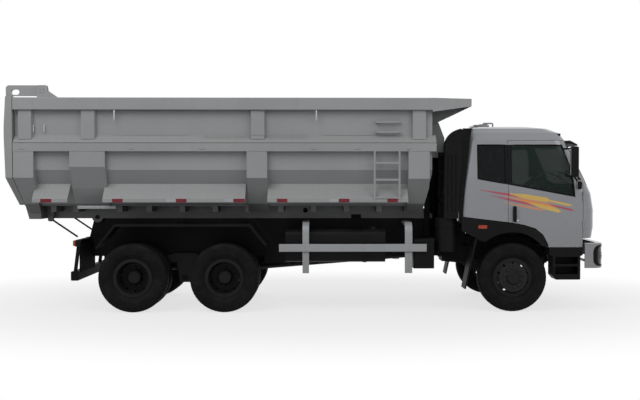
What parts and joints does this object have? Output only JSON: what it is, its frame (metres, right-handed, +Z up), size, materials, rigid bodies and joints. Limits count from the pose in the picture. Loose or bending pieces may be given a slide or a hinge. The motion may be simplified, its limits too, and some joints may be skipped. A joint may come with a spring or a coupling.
{
  "type": "dump truck",
  "caption": "Three-axle rear-tipping dump truck with a tilting cab, opening doors, steered front wheels, a ribbed high-sided body, a top-hung tailgate and a telescopic front hoist.",
  "frame": {"origin": "on the ground, at the centre of the overall box", "axes": "+X forwards along the truck, +Y to its left, +Z up"},
  "size_m": [8.931, 2.75, 3.371],
  "materials": {
    "tyre": "matt",
    "rim": "satin black",
    "axle_iron": "rough painted casting",
    "chassis_black": "satin black",
    "engine_iron": "rough casting",
    "tank_paint": "satin black",
    "piston_chrome": "polished",
    "glass": "clear, slightly tinted",
    "black_plastic": "grained",
    "bed_grey": "satin, light grey",
    "cab_white": "gloss, cool white",
    "guard_white": "satin white",
    "cab_trim": "grained",
    "wheel_rubber": "grained",
    "seat_fabric": "woven",
    "lamp_clear": "polished",
    "lamp_amber": "moulded lens",
    "rod_steel": "satin grey"
  },
  "bodies": {
    "chassis": {"axles": "axle_iron", "battery_box": "chassis_black", "chassis_frame": "chassis_black", "engine": "engine_iron", "front_bumper": "cab_white", "headlamps": "lamp_clear", "intake_stack": "black_plastic", "leaf_springs": "axle_iron", "marker_lamps": "lamp_amber", "mudguards": "chassis_black", "side_guards": "guard_white", "subframe": "chassis_black", "tanks": "tank_paint", "underrun_bar": "chassis_black", "cab_steps": "black_plastic"},
    "cab": {"cab_rear_wall": "cab_white", "cab_side_left": "cab_white", "cab_side_right": "cab_white", "cab_glass": "glass", "cab_roof": "cab_white", "cab_front": "cab_white", "grille": "black_plastic", "cab_floor": "cab_trim", "dashboard": "black_plastic", "seats": "seat_fabric", "steering_wheel": "wheel_rubber", "sun_visor": "black_plastic"},
    "door_left": {"door_left": "cab_white", "door_glass_left": "glass", "door_fittings_left": "black_plastic"},
    "knuckle_left": {"knuckle_left": "axle_iron"},
    "front_wheel_left": {"front_rim_left": "rim", "front_tyre_left": "tyre"},
    "rear_front_wheels_left": {"rear_front_rim_left": "rim", "rear_front_tyres_left": "tyre"},
    "rear_rear_wheels_left": {"rear_rear_rim_left": "rim", "rear_rear_tyres_left": "tyre"},
    "door_right": {"door_right": "cab_white", "door_glass_right": "glass", "door_fittings_right": "black_plastic"},
    "knuckle_right": {"knuckle_right": "axle_iron"},
    "front_wheel_right": {"front_rim_right": "rim", "front_tyre_right": "tyre"},
    "rear_front_wheels_right": {"rear_front_rim_right": "rim", "rear_front_tyres_right": "tyre"},
    "rear_rear_wheels_right": {"rear_rear_rim_right": "rim", "rear_rear_tyres_right": "tyre"},
    "bed": {"bed_floor": "bed_grey", "bed_front": "bed_grey", "bed_side_left": "bed_grey", "bed_side_right": "bed_grey"},
    "tailgate": {"tailgate": "bed_grey"},
    "hoist_tube": {"hoist_tube": "chassis_black"},
    "hoist_stage_1": {"hoist_stage_1": "piston_chrome"},
    "hoist_stage_2": {"hoist_stage_2": "piston_chrome"},
    "hoist_stage_3": {"hoist_stage_3": "piston_chrome"},
    "latch_rods": {"latch_rods": "rod_steel"}
  },
  "joints": [
    {"name": "cab_tilt", "type": "hinge", "parent": "chassis", "child": "cab", "pos_m": [4.3, 0, 1.015], "axis": [0, 1, 0], "range_deg": [0, 50]},
    {"name": "door_right_hinge", "type": "hinge", "parent": "cab", "child": "door_right", "pos_m": [4.118, -1.213, 1.9], "axis": [0, 0, 1], "range_deg": [0, 70]},
    {"name": "door_left_hinge", "type": "hinge", "parent": "cab", "child": "door_left", "pos_m": [4.118, 1.213, 1.9], "axis": [0, 0, -1], "range_deg": [0, 70]},
    {"name": "steer_left", "type": "hinge", "parent": "chassis", "child": "knuckle_left", "pos_m": [3.071, 0.87, 0.515], "axis": [0, 0, 1], "range_deg": [-32, 32]},
    {"name": "steer_right", "type": "hinge", "parent": "chassis", "child": "knuckle_right", "pos_m": [3.071, -0.87, 0.515], "axis": [0, 0, 1], "range_deg": [-32, 32]},
    {"name": "front_wheel_left_spin", "type": "hinge", "parent": "knuckle_left", "child": "front_wheel_left", "pos_m": [3.071, 1.061, 0.515], "axis": [0, 1, 0], "continuous": true},
    {"name": "front_wheel_right_spin", "type": "hinge", "parent": "knuckle_right", "child": "front_wheel_right", "pos_m": [3.071, -1.061, 0.515], "axis": [0, 1, 0], "continuous": true},
    {"name": "rear_front_wheels_left_spin", "type": "hinge", "parent": "chassis", "child": "rear_front_wheels_left", "pos_m": [-1.238, 0.939, 0.515], "axis": [0, 1, 0], "continuous": true},
    {"name": "rear_front_wheels_right_spin", "type": "hinge", "parent": "chassis", "child": "rear_front_wheels_right", "pos_m": [-1.238, -0.939, 0.515], "axis": [0, 1, 0], "continuous": true},
    {"name": "rear_rear_wheels_left_spin", "type": "hinge", "parent": "chassis", "child": "rear_rear_wheels_left", "pos_m": [-2.598, 0.939, 0.515], "axis": [0, 1, 0], "continuous": true},
    {"name": "rear_rear_wheels_right_spin", "type": "hinge", "parent": "chassis", "child": "rear_rear_wheels_right", "pos_m": [-2.598, -0.939, 0.515], "axis": [0, 1, 0], "continuous": true},
    {"name": "bed_tilt", "type": "hinge", "parent": "chassis", "child": "bed", "pos_m": [-3.295, 0, 1.395], "axis": [0, -1, 0], "range_deg": [0, 45]},
    {"name": "tailgate_hinge", "type": "hinge", "parent": "bed", "child": "tailgate", "pos_m": [-3.905, 0, 3.29], "axis": [0, 1, 0], "range_deg": [0, 60]},
    {"name": "hoist_tilt", "type": "hinge", "parent": "chassis", "child": "hoist_tube", "pos_m": [2.01, 0, 0.96], "axis": [0, -1, 0], "range_deg": [0, 25]},
    {"name": "hoist_slide_1", "type": "slide", "parent": "hoist_tube", "child": "hoist_stage_1", "axis": [0, 0, 1], "range_m": [0, 1.3175]},
    {"name": "hoist_slide_2", "type": "slide", "parent": "hoist_stage_1", "child": "hoist_stage_2", "axis": [0, 0, 1], "range_m": [0, 1.3175]},
    {"name": "hoist_slide_3", "type": "slide", "parent": "hoist_stage_2", "child": "hoist_stage_3", "axis": [0, 0, 1], "range_m": [0, 1.3175]},
    {"name": "latch_swing", "type": "hinge", "parent": "bed", "child": "latch_rods", "pos_m": [-3.99, 0, 1.37], "axis": [0, -1, 0], "range_deg": [0, 32]}
  ],
  "couplings": [
    {"joint": "steer_right", "follows": "steer_left", "ratio": 1},
    {"joint": "hoist_tilt", "follows": "bed_tilt", "ratio": 0.5554},
    {"joint": "latch_swing", "follows": "bed_tilt", "ratio": 0.7},
    {"joint": "hoist_slide_1", "follows": "bed_tilt", "m_per_rad": 1.6772},
    {"joint": "hoist_slide_2", "follows": "bed_tilt", "m_per_rad": 1.6772},
    {"joint": "hoist_slide_3", "follows": "bed_tilt", "m_per_rad": 1.6772}
  ]
}
